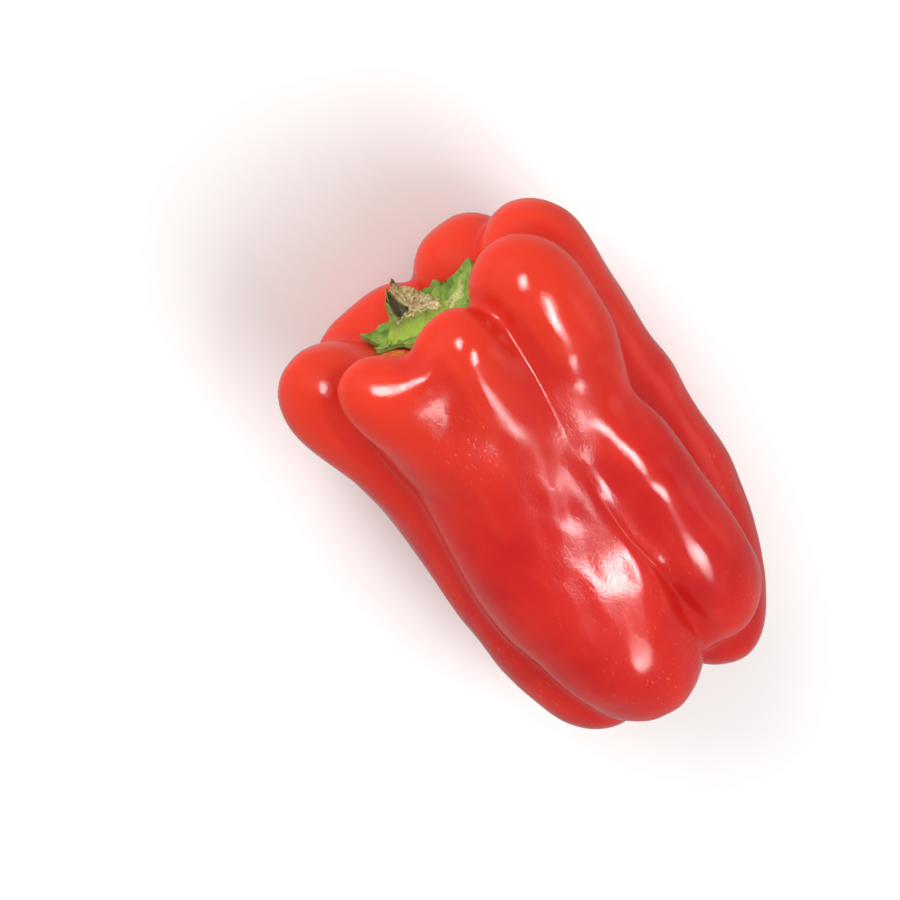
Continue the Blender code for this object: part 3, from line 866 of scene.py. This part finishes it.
def crinkle(grid, wound, stem):
    """Push points along the grid's own normals by wrinkle heights on the disc, fibre heights up the
    stem and crumb heights on the wound.
    """
    du = np.roll(grid, -1, 1) - np.roll(grid, 1, 1)
    dv = np.gradient(grid, axis=0)
    normal = np.cross(dv, du)
    normal /= np.linalg.norm(normal, axis=-1, keepdims=True) + 1e-9
    if (normal[len(grid) // 3, :, 0]).mean() > 0:
        normal = -normal
    row = np.arange(len(grid))[:, None] / len(grid)
    on_top = ramp(row, 0.20, 0.26)
    disc = on_top * (1 - ramp(stem, 0.0, 0.2)) * (1 - wound)
    height = disc * (0.46 * waves(grid, 3.6, 1.0, 11) + 0.30 * waves(grid, 1.8, 1.0, 12))
    height += ramp(stem, 0.02, 0.2) * (1 - wound) * 0.12 * waves(grid, 2.6, 3.0, 13)
    height += wound * (0.16 * waves(grid, 0.9, 1.0, 14) + 0.16 * waves(grid, 1.8, 1.5, 15))
    return grid + np.clip(height, -0.55, 0.75)[..., None] * normal


green, green_values = green_grid()
green = crinkle(green, green_values["wound"], green_values["stem"])
green_values["rib"] = np.tile(np.clip(rib, 0, 1), (len(green), 1))
calyx_stem = as_mesh("calyx_stem", laid_down(green), **green_values)

# %% [markdown]
# ## The greens
#
# The disc is a mid green with yellow-green ribs, darker at the rim, and dried to
# straw in patches, most of all beside the stem; the foot of the stem is a fresh
# lime green. The wound is a crumbly tan with darker fibres, and its hollow is
# painted nearly black as painted shade. One material can hold all of that,
# because the mesh carries numbers at each point that say where on the piece it is.

# %% Green calyx material
LEAF_DARK, LEAF_LIGHT, RIB_GREEN = (0.055, 0.135, 0.012), (0.24, 0.36, 0.042), (0.36, 0.45, 0.07)
LIME, STEM_GREEN, FIBRE_GREEN = (0.30, 0.44, 0.035), (0.11, 0.16, 0.022), (0.44, 0.52, 0.14)
STRAW_DARK, STRAW_LIGHT = (0.34, 0.36, 0.10), (0.62, 0.58, 0.24)
RIM_GREEN, SPECKLE = (0.10, 0.13, 0.03), (0.40, 0.47, 0.12)
PITH_DARK, PITH_LIGHT = (0.34, 0.23, 0.10), (0.64, 0.54, 0.27)
# the last colour here is painted shade for the wound's hollow
PITH_FIBRE, HOLLOW_SHADE = (0.26, 0.16, 0.07), (0.050, 0.046, 0.012)


def green_calyx():
    """Greens mixed by rib, rim, dryness and height up the stem, tan in the wound, and painted shade
    in its hollow.
    """
    n = Nodes("green_calyx")
    even = n.coordinates((1.0, 1.0, 1.0))
    patch = n.noise(even, 170.0, 4.0, 0.6)
    fine = n.noise(even, 700.0, 3.0, 0.6)
    fibre = n.noise(n.coordinates((0.25, 1.0, 1.0)), 1100.0, 3.0, 0.6)
    colour = n.mix(n.span(patch, 0.34, 0.64), LEAF_DARK, LEAF_LIGHT)
    colour = n.mix(n.span(n.attribute("rib"), 0.1, 0.9, 0.0, 0.35), colour, RIB_GREEN)
    crumb = n.noise(even, 1500.0, 3.0, 0.7)
    dry = n.span(n.attribute("dry"), 0.0, 1.0, 0.0, 0.22)
    blotch = n.maths("ADD", n.noise(even, 130.0, 4.0, 0.6), dry)
    straw = n.mix(n.span(crumb, 0.35, 0.65), STRAW_DARK, STRAW_LIGHT)
    stem = n.attribute("stem")
    colour = n.mix(n.span(stem, 0.0, 0.12, 0.0, 0.85), colour, LIME)
    colour = n.mix(n.span(stem, 0.35, 0.95, 0.0, 0.75), colour, STEM_GREEN)
    colour = n.mix(n.span(fibre, 0.56, 0.70, 0.0, 0.4), colour, FIBRE_GREEN)
    colour = n.mix(n.span(blotch, 0.57, 0.70, 0.0, 0.85), colour, straw)
    colour = n.mix(n.span(n.attribute("rim"), 0.5, 1.0, 0.0, 0.35), colour, RIM_GREEN)
    pith = n.mix(n.span(crumb, 0.38, 0.60), PITH_DARK, PITH_LIGHT)
    pith = n.mix(n.span(fibre, 0.55, 0.72, 0.0, 0.7), pith, PITH_FIBRE)
    # painted shade: the wound's hollow darkened nearly to black
    pith = n.mix(n.span(n.attribute("dark"), 0.2, 0.8, 0.0, 0.93), pith, HOLLOW_SHADE)
    colour = n.mix(n.span(n.attribute("wound"), 0.3, 0.8), colour, pith)
    colour = n.mix(n.span(fine, 0.58, 0.75, 0.0, 0.30), colour, SPECKLE)
    n.put(n.shader.inputs["Base Color"], colour)
    n.put(n.shader.inputs["Roughness"], n.span(fine, 0.3, 0.7, 0.42, 0.68))
    n.shader.inputs["Specular IOR Level"].default_value = 0.4
    n.shader.inputs["Subsurface Weight"].default_value = 0.08
    n.shader.inputs["Subsurface Radius"].default_value = (0.5, 1.0, 0.2)
    n.shader.inputs["Subsurface Scale"].default_value = 0.0015
    rough = n.bump(patch, 0.0010, 0.7)
    crumbly = n.bump(crumb, 0.0004, 0.6, rough)
    n.put(n.shader.inputs["Normal"], n.bump(fibre, 0.0002, 0.6, crumbly))
    return n.material


calyx_stem.data.materials.append(green_calyx())
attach(calyx_stem, "root")
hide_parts("calyx")
print("calyx material:", calyx_stem.data.materials[0].name)

# %% [markdown]
# ## Floor and light
#
# The picture was taken in a white tent: soft light from all round, and a few long
# highlights. One lamp can't give both on such glossy skin, because a lamp big
# enough to light it softly would lie over it as a milky veil. So the two large
# fills only light and aren't mirrored in the skin, and the strips right of the
# camera and the lamp beside it only mirror. A weak panel far to the side does
# both. The floor is plain and pale, and it too is left out of the reflections.

# %% Floor, world and lamps
FLOOR_HALF = 3.0                    # metres
LAMP_TARGET = np.array([60.0, 0.0, 0.0])
TENT_STRENGTH = 0.40


def floor():
    """A wide flat square under the fruit, finished plain and pale."""
    data = bpy.data.meshes.new("floor")
    h = FLOOR_HALF
    corners = [(-h, -h, 0.0), (h, -h, 0.0), (h, h, 0.0), (-h, h, 0.0)]
    data.from_pydata(corners, [], [(0, 1, 2, 3)])
    obj = bpy.data.objects.new("floor", data)
    bpy.context.scene.collection.objects.link(obj)
    n = Nodes("pale_floor")
    n.shader.inputs["Base Color"].default_value = (0.86, 0.86, 0.85, 1.0)
    n.shader.inputs["Roughness"].default_value = 0.7
    data.materials.append(n.material)
    obj.visible_glossy = False
    return obj


def lamp(name, way, distance, size, power, mirrored=True, lights=True):
    """A flat lamp that faces the fruit, seen from it in the direction called way.

    The direction is given as picture right, picture up and toward the eye, the
    distance and size in metres and the power in watts. A lamp that isn't mirrored
    leaves no highlight, and one that doesn't light leaves nothing else.
    """
    right, up, back = way
    d = right * picture_right + up * picture_up + back * toward_eye
    d = d / np.linalg.norm(d)
    side = np.cross(picture_up, d)
    side /= np.linalg.norm(side)
    data = bpy.data.lights.new(name, "AREA")
    data.shape = "RECTANGLE"
    data.size, data.size_y = size
    data.energy = power
    obj = bpy.data.objects.new(name, data)
    bpy.context.scene.collection.objects.link(obj)
    place_facing(obj, side, np.cross(d, side), d, LAMP_TARGET + d * distance / MM)
    obj.visible_glossy = mirrored
    obj.visible_diffuse = lights
    return obj


floor()
lamp("strip", (0.46, -0.24, 0.85), 0.9, (0.11, 0.31), 5.4, lights=False)
lamp("strip_middle", (0.48, -0.50, 0.72), 0.9, (0.08, 0.18), 0.26, lights=False)
lamp("strip_low", (0.50, -0.70, 0.51), 0.9, (0.08, 0.16), 1.8, lights=False)
lamp("side_panel", (0.97, 0.10, 0.20), 1.0, (0.4, 0.3), 0.22)
lamp("lamp_camera", (-0.12, 0.22, 0.97), 1.1, (0.17, 0.44), 8.4, lights=False)
lamp("fill_left", (-0.55, 0.52, 0.65), 1.4, (1.4, 1.4), 21.5, mirrored=False)
lamp("fill_right", (0.60, -0.55, 0.58), 1.4, (1.2, 1.2), 17.0, mirrored=False)
world = bpy.data.worlds.new("white_tent")
world.use_nodes = True
background = world.node_tree.nodes["Background"]
background.inputs["Color"].default_value = (1.0, 1.0, 1.0, 1.0)
background.inputs["Strength"].default_value = TENT_STRENGTH
bpy.context.scene.world = world
bpy.context.scene.view_settings.view_transform = "Standard"
